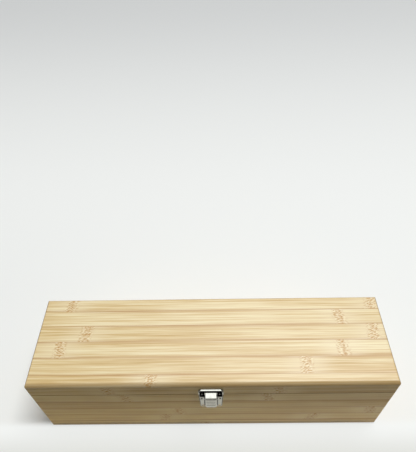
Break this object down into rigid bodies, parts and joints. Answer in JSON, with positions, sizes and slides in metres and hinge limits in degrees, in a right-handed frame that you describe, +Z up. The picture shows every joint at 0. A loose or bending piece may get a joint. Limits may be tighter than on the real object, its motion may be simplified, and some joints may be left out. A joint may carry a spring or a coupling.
{
  "type": "wine presentation box",
  "caption": "Long lidded bamboo gift box for a bottle of wine, with mitred walls, butt hinges at the back, a sprung chrome latch in front and a neck rest inside.",
  "frame": {"origin": "middle of the underside, on the surface that the box rests on", "axes": "+X along the box's length, +Y from the latch at the front to the hinges at the back, +Z up"},
  "size_m": [0.36, 0.1112, 0.104],
  "materials": {
    "bamboo": "laminated strips, satin clear lacquer",
    "latch_chrome": "bright chrome plate",
    "hinge_nickel": "satin nickel plate",
    "fastener_steel": "bright nickel plate",
    "spring_steel": "tempered spring steel"
  },
  "bodies": {
    "base": {"bottom_panel": "bamboo", "base_front_wall": "bamboo", "base_back_wall": "bamboo", "base_left_wall": "bamboo", "base_right_wall": "bamboo", "neck_rest": "bamboo", "latch_housing": "latch_chrome", "latch_housing_nails": "fastener_steel", "latch_pivot_pin": "fastener_steel", "latch_spring": "spring_steel", "hinge_left_base_leaf": "hinge_nickel", "hinge_right_base_leaf": "hinge_nickel", "hinge_left_pin": "hinge_nickel", "hinge_right_pin": "hinge_nickel", "hinge_base_screws": "fastener_steel"},
    "lid": {"lid_panel": "bamboo", "lid_front_rail": "bamboo", "lid_back_rail": "bamboo", "lid_left_rail": "bamboo", "lid_right_rail": "bamboo", "latch_keeper": "latch_chrome", "latch_keeper_nails": "fastener_steel", "hinge_left_lid_leaf": "hinge_nickel", "hinge_right_lid_leaf": "hinge_nickel", "hinge_lid_screws": "fastener_steel"},
    "latch_lever": {"latch_lever": "latch_chrome"}
  },
  "joints": [
    {"name": "lid_hinge", "type": "hinge", "parent": "base", "child": "lid", "pos_m": [0, 0.0515, 0.08315], "axis": [-1, 0, 0], "range_deg": [0, 180]},
    {"name": "latch_pivot", "type": "hinge", "parent": "base", "child": "latch_lever", "pos_m": [-0.0008, -0.0512, 0.077], "axis": [1, 0, 0], "range_deg": [0, 15], "stiffness_Nm_per_rad": 0.1, "springref_deg": -8.59, "deforming": ["latch_spring"]}
  ]
}
